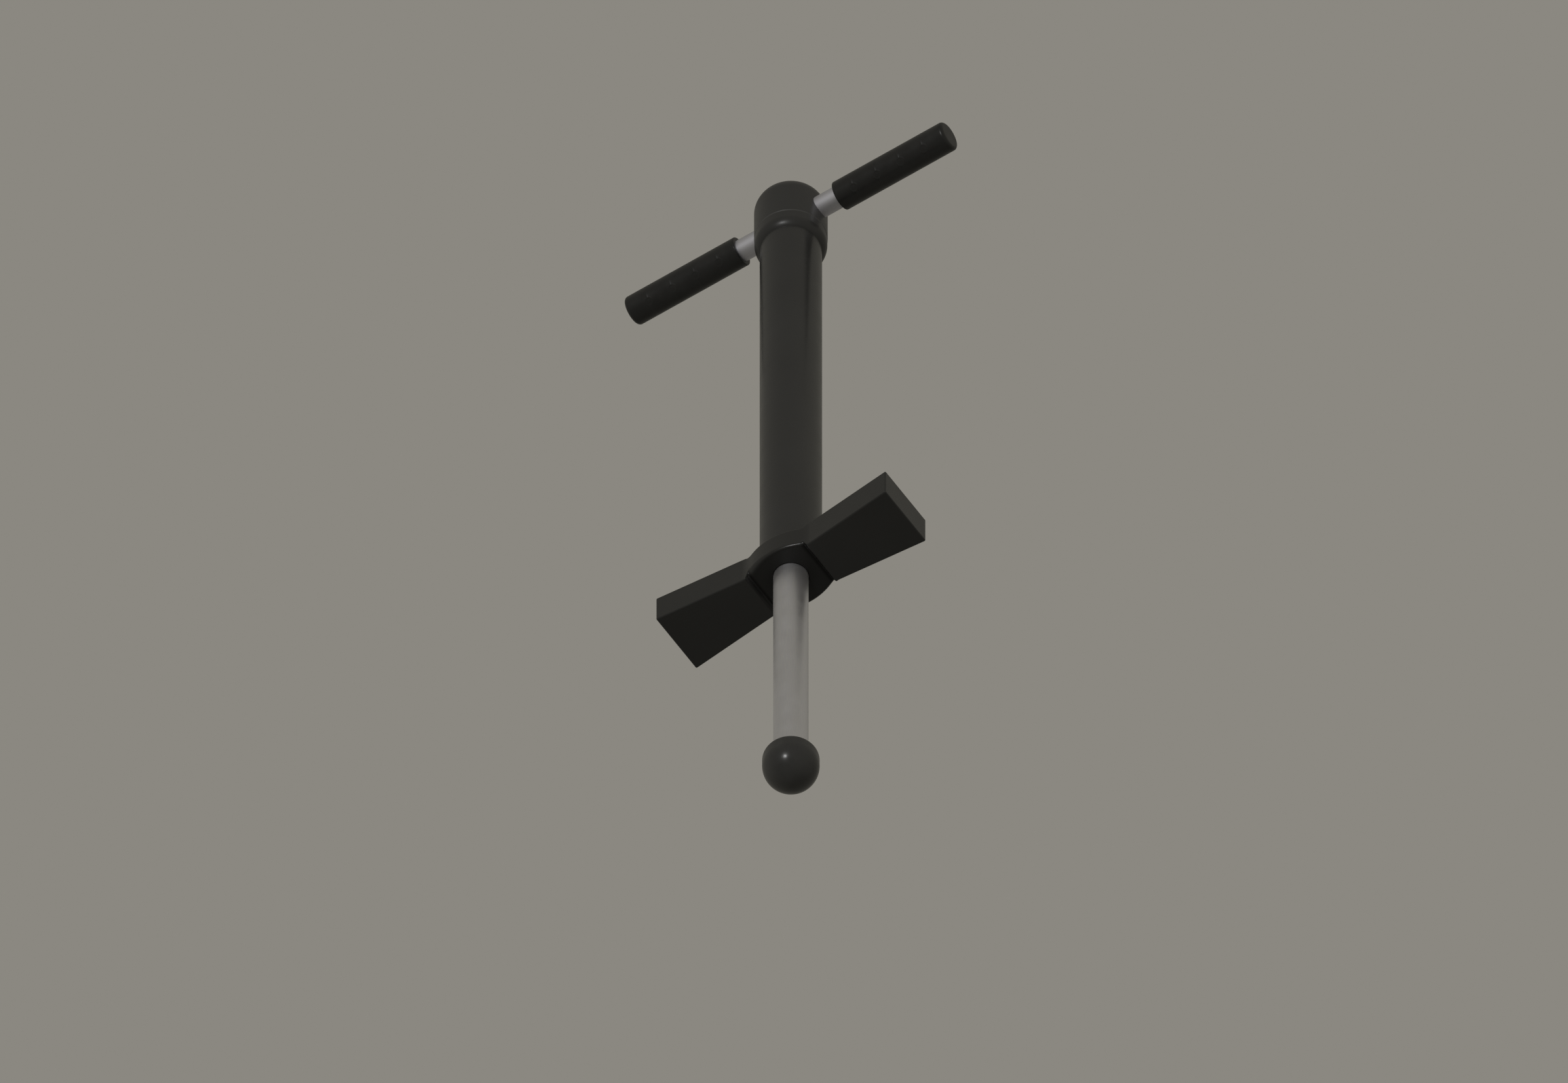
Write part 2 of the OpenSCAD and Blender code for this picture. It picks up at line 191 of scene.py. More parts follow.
# ---------------------------------------------------------------- footrest sizes

# Plan: the hub is an arc over HUB_HALF each side, and the pedals widen from neck to end.
HUB_HALF = 33.5 * MM
HUB_BULGE = 34.7 * MM
NECK_HALF = 25.4 * MM
END_HALF = 34.8 * MM
SHOULDER = 4.8 * MM  # how softly the arc runs into the pedal

# Heights: the pedals reach 4 mm lower and 3.5 mm higher than the hub.
HUB_UNDER = 347 * MM
HUB_TOP = 375 * MM
CREASE = 4.0 * MM  # length along X of the step underneath
CREASE_OUT = 0.5 * MM  # how far past HUB_HALF the middle of that step lies
TOP_CREASE = 14 * MM

# Edges and the groove beside each pedal.
EDGE_R = 1.5 * MM
HUB_EDGE_R = 3.4 * MM
SOFT_MORE = 3.5 * MM  # extra rounding under the hub's front left
GROOVE_IN = 1.6 * MM
GROOVE_DEEP = 0.5 * MM
GROOVE_SIGMA = 1.5 * MM

SCREW_ANGLES = [math.radians(68), math.radians(112)]


# ---------------------------------------------------------------- materials

# Share of the light that painted shade takes under the hub: all over it, and more in its folds.
PAINTED_SHADE_THIN = 0.37
PAINTED_SHADE_THICK = 0.40
# Heights of a face's normal between which it counts as a flat underside, or as facing down at all.
FLAT_BELOW = (-0.97, -0.70)
FACES_DOWN = (-0.40, -0.20)
# Painted highlight along the cap's lower edge: its middle, half its width and how many times paler
# it is.
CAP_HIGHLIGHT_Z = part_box("head_cap")[0].z + 0.45 * MM
CAP_HIGHLIGHT_HALF = 1.0 * MM
CAP_HIGHLIGHT_GAIN = 2.1


def principled(name):
    """A new material with its node tree, its main shader and its object coordinates."""
    material = bpy.data.materials.new(name)
    material.use_nodes = True
    tree = material.node_tree
    shader = tree.nodes["Principled BSDF"]
    coords = tree.nodes.new("ShaderNodeTexCoord").outputs["Object"]
    return material, tree, shader, coords


def noise(tree, coords, size, detail=2.0, stretch=(1, 1, 1)):
    """Noise whose grains are about size metres across; stretch makes them longer along an axis."""
    mapping = tree.nodes.new("ShaderNodeMapping")
    mapping.inputs["Scale"].default_value = [1 / s for s in stretch]
    tree.links.new(coords, mapping.inputs["Vector"])
    node = tree.nodes.new("ShaderNodeTexNoise")
    node.inputs["Scale"].default_value = 1 / size
    node.inputs["Detail"].default_value = detail
    tree.links.new(mapping.outputs["Vector"], node.inputs["Vector"])
    return node.outputs["Fac"]


def spread(tree, value, low, high, start=0.3, end=0.7):
    """Maps start..end, by default the useful range of a noise, onto low..high."""
    node = tree.nodes.new("ShaderNodeMapRange")
    node.inputs["From Min"].default_value = start
    node.inputs["From Max"].default_value = end
    node.inputs["To Min"].default_value = low
    node.inputs["To Max"].default_value = high
    tree.links.new(value, node.inputs["Value"])
    return node.outputs["Result"]


def tint(tree, factor, dark, light):
    """Mixes two colours by a 0..1 value."""
    node = tree.nodes.new("ShaderNodeMix")
    node.data_type = "RGBA"
    node.inputs["A"].default_value = (*dark, 1)
    node.inputs["B"].default_value = (*light, 1)
    tree.links.new(factor, node.inputs["Factor"])
    return node.outputs["Result"]


def arithmetic(tree, operation, *values):
    """A maths node; each value is a number or another node's output."""
    node = tree.nodes.new("ShaderNodeMath")
    node.operation = operation
    for socket, value in zip(node.inputs, values):
        if isinstance(value, (int, float)):
            socket.default_value = value
        else:
            tree.links.new(value, socket)
    return node.outputs["Value"]


def bump(tree, height, depth):
    """A bump of the given depth in metres."""
    node = tree.nodes.new("ShaderNodeBump")
    node.inputs["Strength"].default_value = 1.0
    node.inputs["Distance"].default_value = depth
    tree.links.new(height, node.inputs["Height"])
    return node.outputs["Normal"]


def shaded(tree, reach, dark):
    """Painted shade: 1 in the open, falling towards dark in corners closer than about reach metres.
    """
    node = tree.nodes.new("ShaderNodeAmbientOcclusion")
    node.samples = 6
    node.inputs["Distance"].default_value = reach
    closed_in, in_the_open = 0.40, 0.98
    return spread(tree, node.outputs["AO"], dark, 1.0, closed_in, in_the_open)


def dim(tree, colour, factor):
    """A colour scaled by a value."""
    node = tree.nodes.new("ShaderNodeVectorMath")
    node.operation = "SCALE"
    tree.links.new(colour, node.inputs[0])
    tree.links.new(factor, node.inputs["Scale"])
    return node.outputs["Vector"]


def grey(level):
    return (level, level, level)


def steel(level):
    """A grey with the faint blue of bare metal."""
    return (level * 0.99, level * 0.985, min(1.0, level * 1.045))


def mottled(tree, coords, level, share, size):
    """A grey that drifts up and down by a share of its level, in patches of the given size."""
    patches = spread(tree, noise(tree, coords, size, 3), 0, 1)
    return tint(tree, patches, grey(level * (1 - share)), grey(level * (1 + share)))


def uneven_sheen(tree, coords, shader, size, low, high):
    """Roughness that drifts from low to high in patches of the given size."""
    sheen = spread(tree, noise(tree, coords, size, 4), low, high)
    tree.links.new(sheen, shader.inputs["Roughness"])


def part_of(tree, vector, letter):
    """One component of a vector."""
    split = tree.nodes.new("ShaderNodeSeparateXYZ")
    tree.links.new(vector, split.inputs[0])
    return split.outputs[letter]


def hub_painted_shade(tree, coords):
    """The light left under the hub by painted shade, in colour and gloss: a thin share all over,
    and a thick one in the folds.

    A fold's painted shade thins out softly towards the rod, and ends sharply at the pedal's edge.
    """
    out = arithmetic(tree, "ABSOLUTE", part_of(tree, coords, "X"))
    facing = part_of(tree, tree.nodes.new("ShaderNodeNewGeometry").outputs["Normal"], "Z")
    below = spread(tree, facing, 1, 0, *FLAT_BELOW)
    down = spread(tree, facing, 1, 0, *FACES_DOWN)
    edge = HUB_HALF + CREASE_OUT
    thin = spread(tree, out, PAINTED_SHADE_THIN, 0, edge - 3 * MM, edge)
    inner = spread(tree, out, 0, PAINTED_SHADE_THICK, edge - 5.5 * MM, edge - 1.5 * MM)
    outer = spread(tree, out, 1, 0, edge + 1.4 * MM, edge + 2.4 * MM)
    fold = arithmetic(tree, "MULTIPLY", arithmetic(tree, "MULTIPLY", inner, outer), down)
    # painted shade: the share of light taken away under the hub and in its folds
    shade_share = arithmetic(tree, "MULTIPLY_ADD", thin, below, fold)
    return arithmetic(tree, "SUBTRACT", 1.0, shade_share)


def cap_painted_highlight(tree, coords):
    """Painted highlight: how many times paler the cap is along its lower edge."""
    height = part_of(tree, coords, "Z")
    away = arithmetic(tree, "ABSOLUTE", arithmetic(tree, "SUBTRACT", height, CAP_HIGHLIGHT_Z))
    return spread(tree, away, CAP_HIGHLIGHT_GAIN, 1, CAP_HIGHLIGHT_HALF * 0.5, CAP_HIGHLIGHT_HALF)


def coated(name, level, rough, grain=0.9 * MM, depth=0.012 * MM, shade=None, reach=12 * MM):
    """Satin paint or moulded nylon: faint orange peel, uneven sheen and slightly paler patches.

    shade, if given, makes a value of painted light that scales the colour (painted shade below 1,
    painted highlight above 1), and the gloss where it is below 1.
    Corners closer than about reach then get painted shade too.
    """
    material, tree, shader, coords = principled(name)
    colour = mottled(tree, coords, level, 0.06, 60 * MM)
    if shade:
        left = shade(tree, coords)
        # painted shade in corners
        corners = shaded(tree, reach, 0.5)
        colour = dim(tree, colour, arithmetic(tree, "MULTIPLY", corners, left))
        usual_gloss = 0.5
        gloss = arithmetic(tree, "MULTIPLY", arithmetic(tree, "MINIMUM", left, 1.0), usual_gloss)
        tree.links.new(gloss, shader.inputs["Specular IOR Level"])
    tree.links.new(colour, shader.inputs["Base Color"])
    uneven_sheen(tree, coords, shader, 25 * MM, rough - 0.03, rough + 0.04)
    peel = bump(tree, noise(tree, coords, grain, 2), depth)
    tree.links.new(peel, shader.inputs["Normal"])
    return material


def rubber(name, level, rough, depth=0.02 * MM):
    """Moulded rubber: fine stipple and a cloudy sheen."""
    material, tree, shader, coords = principled(name)
    tree.links.new(mottled(tree, coords, level, 0.12, 18 * MM), shader.inputs["Base Color"])
    uneven_sheen(tree, coords, shader, 9 * MM, rough - 0.04, rough + 0.05)
    stipple = bump(tree, noise(tree, coords, 0.5 * MM, 2), depth)
    tree.links.new(stipple, shader.inputs["Normal"])
    return material


def metal(name, level, rough, stretch=(1, 1, 40), depth=0.004 * MM):
    """Bare ground steel: fine lines along one axis, with a cloudy sheen."""
    material, tree, shader, coords = principled(name)
    shader.inputs["Metallic"].default_value = 1.0
    lines = noise(tree, coords, 0.35 * MM, 3, stretch)
    tone = tint(tree, spread(tree, lines, 0, 1), steel(level * 0.96), steel(level * 1.03))
    tree.links.new(tone, shader.inputs["Base Color"])
    uneven_sheen(tree, coords, shader, 20 * MM, rough - 0.03, rough + 0.05)
    tree.links.new(bump(tree, lines, depth), shader.inputs["Normal"])
    return material


def paint(obj, material):
    """Gives a piece or a CAD node one material."""
    obj.data.materials.clear()
    obj.data.materials.append(material)


MATERIALS = {
    "tube_paint": coated("tube_paint", 0.055, 0.26),
    # head_plastic: painted highlight along the cap's lower edge, and painted shade in its corners
    "head_plastic": coated("head_plastic", 0.055, 0.34, shade=cap_painted_highlight, reach=3 * MM),
    # footrest_plastic: painted shade under the hub, in its folds and in corners
    "footrest_plastic": coated("footrest_plastic", 0.038, 0.26, shade=hub_painted_shade),
    "grip_rubber": rubber("grip_rubber", 0.030, 0.34),
    "tip_rubber": rubber("tip_rubber", 0.062, 0.25, 0.003 * MM),
    "tread_rubber": rubber("tread_rubber", 0.025, 0.60),
    "seal_rubber": rubber("seal_rubber", 0.030, 0.60),
    "bumper_rubber": rubber("bumper_rubber", 0.30, 0.55),
    "rod_metal": metal("rod_metal", 0.97, 0.50),
    "bar_metal": metal("bar_metal", 0.87, 0.60, (40, 1, 1)),
    "core_metal": metal("core_metal", 0.80, 0.40),
    "screw_steel": metal("screw_steel", 0.12, 0.40, (1, 1, 1)),
    "washer_steel": metal("washer_steel", 0.50, 0.38, (1, 1, 1)),
    "pin_steel": metal("pin_steel", 0.25, 0.45, (20, 1, 1)),
    "spring_steel": metal("spring_steel", 0.35, 0.40, (1, 1, 1)),
    "plug_plastic": coated("plug_plastic", 0.03, 0.5),
    "bushing_plastic": coated("bushing_plastic", 0.65, 0.5),
}
SLOT_OF = {s["node"]: s["material_slot"] for s in frame["record"]["subparts"]}
BODY_OF = {n: body for body, nodes in frame["record"]["behaviour"]["bodies"].items() for n in nodes}


def finish_piece(obj, node):
    """A new piece stands for a CAD node: it takes the node's body, slot and material."""
    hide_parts(node)
    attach(obj, BODY_OF[node])
    paint(obj, MATERIALS[SLOT_OF[node]])
    return obj


# ---------------------------------------------------------------- sizes from the frame

tube_low, tube_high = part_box("outer_tube")
cap_low, cap_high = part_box("head_cap")
collar_low, collar_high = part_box("head_collar")
bar_low, bar_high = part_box("handlebar_tube")
grip_low, grip_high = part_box("right_grip")
rest_low, rest_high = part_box("footrest")
rod_low, rod_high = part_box("plunger_rod")
tip_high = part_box("rubber_tip")[1]
pad_low, pad_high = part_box("right_tread_pad")
bushing_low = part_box("lower_bushing")[0]
seal_low, seal_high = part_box("wiper_seal")
screws_low, screws_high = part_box("footrest_screws")
spring_low, spring_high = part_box("main_spring")

TUBE_R = tube_high.x
TUBE_WALL = 2 * MM
BAR_R = bar_high.y
BAR_WALL = 2 * MM
BAR_Z = (bar_low.z + bar_high.z) / 2
HEAD_R = cap_high.x
ROD_R = rod_high.x
ROD_WALL = 2.5 * MM
TUBE_CHAMFER = 0.4 * MM  # at the ends of tube, bar and rod
FIT = 0.03 * MM  # radial gap between a piece and the socket it sits in
SET_SCREW_R = 4.5 * MM


# ---------------------------------------------------------------- tubes and head

def build_outer_tube():
    section = tube_section(TUBE_R, TUBE_WALL, tube_low.z, tube_high.z, 20 * MM)
    tube = turned("outer_tube_skin", section)
    bar_hole = rod_cutter("bar_hole", BAR_R + FIT, RIGHT, -2 * TUBE_R, 2 * TUBE_R, BAR_Z)
    finish_piece(cut(tube, bar_hole), "outer_tube")


CAP_EDGE_R = 1.0 * MM
LIP_STEP = 0.3 * MM  # the lip ring is this much smaller than the cap in radius


def head_cap_section():
    """Outside of the cap from its rounded lower edge to the crown, then the hollow inside."""
    dome_r = 22 * MM
    thick = 5 * MM
    gap = 0.1 * MM
    ledge = 1 * MM
    socket_r = TUBE_R + FIT
    ceiling = tube_high.z + gap
    inner_r = TUBE_R - TUBE_WALL - ledge
    low, high = cap_low.z, cap_high.z
    outside = [(socket_r, low)]
    outside += arc(HEAD_R - CAP_EDGE_R, low + CAP_EDGE_R, CAP_EDGE_R, -90, 0, 8)
    outside += wall(HEAD_R, low + CAP_EDGE_R, high - dome_r, 2.5 * MM)
    outside += arc(HEAD_R - dome_r, high - dome_r, dome_r, 0, 90, 28)[1:]
    outside += [((HEAD_R - dome_r) * k / 4, high) for k in (3, 2, 1, 0)]
    hollow = arc(HEAD_R - dome_r, high - dome_r, dome_r - thick, 90, 0, 14)
    inside = [(0, high - thick)] + [point for point in hollow if point[0] < inner_r]
    inside += [(inner_r, ceiling), (socket_r, ceiling)]
    return outside + inside


def build_head_cap():
    cap = turned("head_cap_skin", head_cap_section())
    bar_hole = rod_cutter("cap_bar_hole", BAR_R + FIT, RIGHT, -2 * HEAD_R, 2 * HEAD_R, BAR_Z)
    screw_hole = rod_cutter("cap_screw_hole", SET_SCREW_R, BACK, 0, 2 * HEAD_R, BAR_Z)
    finish_piece(cut(cap, bar_hole, screw_hole), "head_cap")


def build_head_collar():
    """Lip ring under the cap: a short band, then a convex curve and a small fillet to the tube."""
    low, high = collar_low.z, collar_high.z
    r = HEAD_R - LIP_STEP
    curve_r = 13 * MM
    curve_z = low + 10.2 * MM
    fillet_r = 0.3 * MM
    tube_r = TUBE_R + 0.5 * FIT
    reach = tube_r + fillet_r - (r - curve_r)
    fillet_z = curve_z - math.sqrt((curve_r + fillet_r) ** 2 - reach ** 2)
    meet = math.degrees(math.atan2(curve_z - fillet_z, reach))
    bead = 0.25 * MM
    bead_in = 0.6 * MM
    top = high + bead
    section = [(tube_r, high), (tube_r, fillet_z)]
    section += arc(tube_r + fillet_r, fillet_z, fillet_r, 180, 180 - meet, 8)[1:]
    section += arc(r - curve_r, curve_z, curve_r, -meet, 0, 24)[1:]
    section += wall(r, curve_z, top, 2 * MM)
    section += [(r - bead, top - 0.52 * bead), (r - bead_in, high)]
    finish_piece(turned("head_collar_skin", section), "head_collar")


def build_handlebar():
    section = tube_section(BAR_R, BAR_WALL, bar_low.x, bar_high.x, 10 * MM)
    bar = lift(turned("handlebar_skin", section, RIGHT, segments=128), BAR_Z)
    finish_piece(bar, "handlebar_tube")


# ---------------------------------------------------------------- grips

# Ridges run round the grip, each a narrow crest on a broad foot.
RIDGE_PITCH = 26.9 * MM
RIDGE_FIRST = 21.2 * MM
RIDGE_COUNT = 4
RIDGE_HIGH = 0.24 * MM
RIDGE_SIGMA = 0.75 * MM
FOOT_HIGH = 0.04 * MM
FOOT_SIGMA = 3.0 * MM
# A round dimple with a raised rim sits on each ridge.
DIMPLE_ANGLE = math.radians(57)
DIMPLE_R = 3.3 * MM
DIMPLE_DEEP = 0.10 * MM
DIMPLE_EDGE = 0.7 * MM
RIM_HIGH = 0.14 * MM
RIM_SIGMA = 0.55 * MM
# The ridges fade this far round from the dimples, down to a small share of their height.
WINDOW = math.radians(28)
FAR_SHARE = 0.15
GRIP_SKIN = 0.5 * MM  # only points this close under the surface are shaped


def bell(distance, sigma):
    return math.exp(-0.5 * (distance / sigma) ** 2)


def grip_shape(side, inner):
    """Radius change that raises ridges on the grip, each with a round dimple underneath."""
    def shape(r, h, angle):
        if r < grip_high.y - GRIP_SKIN:
            return r
        nearest = min(
            abs(side * h - inner - RIDGE_FIRST - k * RIDGE_PITCH) for k in range(RIDGE_COUNT)
        )
        turn = (angle - DIMPLE_ANGLE + math.pi) % (2 * math.pi) - math.pi
        rise = RIDGE_HIGH * bell(nearest, RIDGE_SIGMA) + FOOT_HIGH * bell(nearest, FOOT_SIGMA)
        rise *= FAR_SHARE + (1 - FAR_SHARE) * bell(turn, WINDOW)
        away = math.hypot(nearest, turn * r)
        inside = smooth(0.5 - (away - DIMPLE_R) / (2 * DIMPLE_EDGE))
        rim = RIM_HIGH * bell(away - DIMPLE_R - DIMPLE_EDGE, RIM_SIGMA)
        return r + max(rise, rim) * (1 - inside) - DIMPLE_DEEP * inside
    return shape


def grip_wall(r, inner, start, end):
    """Wall points of a grip, closely spaced round each ridge."""
    near = 5 * MM
    coarse, fine = 2 * MM, 0.25 * MM
    points = []
    place = start
    for k in range(RIDGE_COUNT):
        ridge = inner + RIDGE_FIRST + k * RIDGE_PITCH
        points += wall(r, place, ridge - near, coarse)
        points += wall(r, ridge - near, ridge + near, fine)
        place = ridge + near
    return points + wall(r, place, end, coarse)


def build_grip(name, node, side):
    inner, outer = grip_low.x, grip_high.x
    r = grip_high.y
    end_r, mouth_r, end_t, lead = 3.6 * MM, 1 * MM, 4 * MM, 0.3 * MM
    bore = BAR_R + FIT
    section = [(bore, inner + lead), (bore + lead, inner)]
    section += arc(r - mouth_r, inner + mouth_r, mouth_r, -90, 0, 6)
    section += grip_wall(r, inner, inner + mouth_r, outer - end_r)
    section += arc(r - end_r, outer - end_r, end_r, 0, 90, 12)[1:]
    section += [((r - end_r) * k / 4, outer) for k in (3, 2, 1, 0)]
    section += [(0, outer - end_t), (bore, outer - end_t)]
    if side < 0:
        section = [(a, -b) for a, b in section]
    grip = turned(name, section, RIGHT, segments=192, shape=grip_shape(side, inner))
    finish_piece(lift(grip, BAR_Z), node)


# ---------------------------------------------------------------- footrest

def footrest_half_width(x):
    """Half width of the plan: the hub's arc runs softly into the pedals' straight sides."""
    x = abs(x)
    rise = HUB_BULGE - NECK_HALF
    r = (HUB_HALF ** 2 + rise ** 2) / (2 * rise)
    pedal = NECK_HALF + (END_HALF - NECK_HALF) * (x - HUB_HALF) / (rest_high.x - HUB_HALF)
    hub = HUB_BULGE - r + math.sqrt(max(0.0, r * r - x * x))
    blend = max(0.0, SHOULDER - abs(pedal - hub))
    return max(pedal, hub) + blend ** 2 / (4 * SHOULDER)


def footrest_section(x):
    """Half width, underside, top and edge rounding of the section at x.

    A soft groove runs across the hub's underside beside each pedal.
    """
    t = smooth((abs(x) - (HUB_HALF + CREASE_OUT - CREASE / 2)) / CREASE)
    t_top = smooth((abs(x) - (HUB_HALF - TOP_CREASE / 2)) / TOP_CREASE)
    groove = GROOVE_DEEP * bell(HUB_HALF - GROOVE_IN - abs(x), GROOVE_SIGMA)
    low = HUB_UNDER + groove + (rest_low.z - HUB_UNDER - groove) * t
    high = HUB_TOP + (rest_high.z - HUB_TOP) * t_top
    edge = HUB_EDGE_R + (EDGE_R - HUB_EDGE_R) * t
    return footrest_half_width(x), low, high, edge


def section_points(x, steps=6):
    """Rounded rectangle at x, going round from the front lower edge."""
    half, low, high, edge = footrest_section(x)
    least_edge = 0.01 * MM
    soft_end = 4 * MM
    reach = abs(x) - (rest_high.x - EDGE_R)
    inset = EDGE_R - math.sqrt(max(0.0, EDGE_R ** 2 - reach ** 2)) if reach > 0 else 0.0
    half, low, high, edge = half - inset, low + inset, high - inset, max(edge - inset, least_edge)
    soft = edge + SOFT_MORE * smooth(-x / HUB_HALF) * smooth((HUB_HALF - abs(x)) / soft_end)
    corners = [
        (half - edge, low + edge, -90),
        (half - edge, high - edge, 0),
        (-half + edge, high - edge, 90),
        (-half + soft, low + soft, 180),
    ]
    radii = [edge, edge, edge, soft]
    points = []
    for (y, z, start), r in zip(corners, radii):
        points += arc(y, z, r, start, start + 90, steps)
    return points


def footrest_stations():
    """Places along X for the sections, closer together where the shape turns."""
    near = 8 * MM
    flat_end = rest_high.x - EDGE_R
    half = [0.0]
    half += steps_between(0, HUB_HALF - near, 2 * MM)
    half += steps_between(HUB_HALF - near, HUB_HALF + near, 0.35 * MM)
    half += steps_between(HUB_HALF + near, flat_end, 8 * MM)
    half += [flat_end + EDGE_R * math.sin(math.radians(15 * k)) for k in range(1, 7)]
    return [-x for x in reversed(half[1:])] + half


def tread_plan(grow, side):
    """Outline of a tread pad with rounded corners, grown by a margin."""
    x0, x1 = pad_low.x - grow, pad_high.x + grow
    inset = footrest_half_width(pad_high.x) - pad_high.y
    corner = 4 * MM + grow
    points = []
    for x, y_sign, start in ((x1, 1, 0), (x0, 1, 90), (x0, -1, 180), (x1, -1, 270)):
        half = footrest_half_width(abs(x)) - inset + grow
        cx = x - corner if x == x1 else x + corner
        points += arc(cx, y_sign * (half - corner), corner, start, start + 90, 8)
    return [(side * x, y) for x, y in points]


def prism(name, outline, low, high, chamfer=0.0):
    """A closed prism over an outline, with an optional chamfer round its top."""
    count = len(outline)
    cx = sum(p[0] for p in outline) / count
    cy = sum(p[1] for p in outline) / count
    rings = [[(x, y, low) for x, y in outline], [(x, y, high - chamfer) for x, y in outline]]
    if chamfer:
        reach = max(math.hypot(x - cx, y - cy) for x, y in outline)
        scale = 1 - chamfer / reach
        rings.append([(cx + (x - cx) * scale, cy + (y - cy) * scale, high) for x, y in outline])
    verts = [v for ring in rings for v in ring]
    faces = [list(range(count - 1, -1, -1)), [len(verts) - count + i for i in range(count)]]
    for k in range(len(rings) - 1):
        for i in range(count):
            j = (i + 1) % count
            faces.append([k * count + i, k * count + j, (k + 1) * count + j, (k + 1) * count + i])
    return make_object(name, verts, faces)


SOCKET_GAP = 0.3 * MM  # round the rod
SOCKET_LEAD = 1.5 * MM
PAD_GAP = 0.3 * MM
SHANK_HOLE_R = 2.7 * MM
SHANK_HOLE_START = 20 * MM
SEAT_R = 5.1 * MM
PAST = 5 * MM  # how far a cutter runs past the surface it cuts


def hub_socket():
    """Cutter for the rod's opening, the seal's pocket and the tube's socket."""
    section = [
        (0, HUB_UNDER - PAST),
        (ROD_R + SOCKET_LEAD, HUB_UNDER - PAST),
        (ROD_R + SOCKET_LEAD, HUB_UNDER - 0.1 * MM),
        (ROD_R + SOCKET_GAP, HUB_UNDER + 1.1 * MM),
        (ROD_R + SOCKET_GAP, seal_low.z),
        (seal_high.x + FIT, seal_low.z),
        (seal_high.x + FIT, bushing_low.z),
        (TUBE_R + FIT, bushing_low.z),
        (TUBE_R + FIT, HUB_TOP + 4 * PAST),
        (0, HUB_TOP + 4 * PAST),
    ]
    return turned("hub_socket", section, closed=False)


def screw_seat(angle):
    """Cutter for a footrest screw's shank and head, from the hub's back."""
    axis = Vector((math.cos(angle), math.sin(angle), 0))
    far = 50 * MM
    section = [
        (0, SHANK_HOLE_START),
        (SHANK_HOLE_R, SHANK_HOLE_START),
        (SHANK_HOLE_R, HUB_BULGE),
        (SEAT_R, HUB_BULGE),
        (SEAT_R, far),
        (0, far),
    ]
    seat = turned("screw_seat", section, axis, closed=False, segments=64)
    return lift(seat, (screws_low.z + screws_high.z) / 2)


def pad_pocket(side):
    """Cutter for a tread pad's recess."""
    outline = tread_plan(PAD_GAP, side)[::side]
    return prism("pad_pocket", outline, pad_low.z, pad_high.z + PAST)


def build_footrest():
    rings = [[(x, y, z) for y, z in section_points(x)] for x in footrest_stations()]
    count = len(rings[0])
    verts = [v for ring in rings for v in ring]
    faces = [list(range(count)), [len(verts) - 1 - i for i in range(count)]]
    for k in range(len(rings) - 1):
        for i in range(count):
            j = (i + 1) % count
            faces.append([k * count + i, (k + 1) * count + i, (k + 1) * count + j, k * count + j])
    rest = make_object("footrest_skin", verts, faces)
    cutters = [hub_socket(), pad_pocket(-1), pad_pocket(1)]
    cutters += [screw_seat(angle) for angle in SCREW_ANGLES]
    finish_piece(even_normals(cut(rest, *cutters)), "footrest")


RIB_COUNT = 8
GROOVE_R = 1.5 * MM
GROOVE_END = 11 * MM  # from a groove's round end to the pedal's side
TREAD_CHAMFER = 0.5 * MM


def build_tread_pad(name, node, side):
    """Ribbed rubber pad: grooves are cut across it inside a plain rim."""
    outline = tread_plan(0, side)[::side]
    pad = prism(name, outline, pad_low.z, pad_high.z, TREAD_CHAMFER)
    pitch = (pad_high.x - pad_low.x) / (RIB_COUNT + 1)
    for i in range(1, RIB_COUNT + 1):
        x = pad_low.x + i * pitch
        half = footrest_half_width(x) - GROOVE_END
        outline = arc(x, half, GROOVE_R, 0, 180, 8) + arc(x, -half, GROOVE_R, 180, 360, 8)
        outline = [(side * a, b) for a, b in outline][::side]
        cut(pad, prism("groove", outline, pad_high.z - GROOVE_R, pad_high.z + 2 * MM))
    finish_piece(even_normals(pad), node)


# ---------------------------------------------------------------- plunger

def build_plunger_rod():
    section = tube_section(ROD_R, ROD_WALL, rod_low.z, rod_high.z, 20 * MM)
    finish_piece(turned("plunger_rod_skin", section), "plunger_rod")


def build_rubber_tip():
    """Half ball, short band and rolled rim round the rod's socket."""
    r = tip_high.x
    top = tip_high.z
    rim = 5.5 * MM
    lead = 0.6 * MM
    socket_r = ROD_R + FIT
    floor_z = 13 * MM
    section = arc(0, r, r, -90, 0, 40)
    section += wall(r, r, top - rim, 3 * MM)
    section += arc(r - rim, top - rim, rim, 0, 90, 12)[1:]
    section += [(socket_r + lead, top), (socket_r, top - lead), (socket_r, floor_z), (0, floor_z)]
    section[0] = (0, 0)
    finish_piece(turned("rubber_tip_skin", section, closed=False), "rubber_tip")


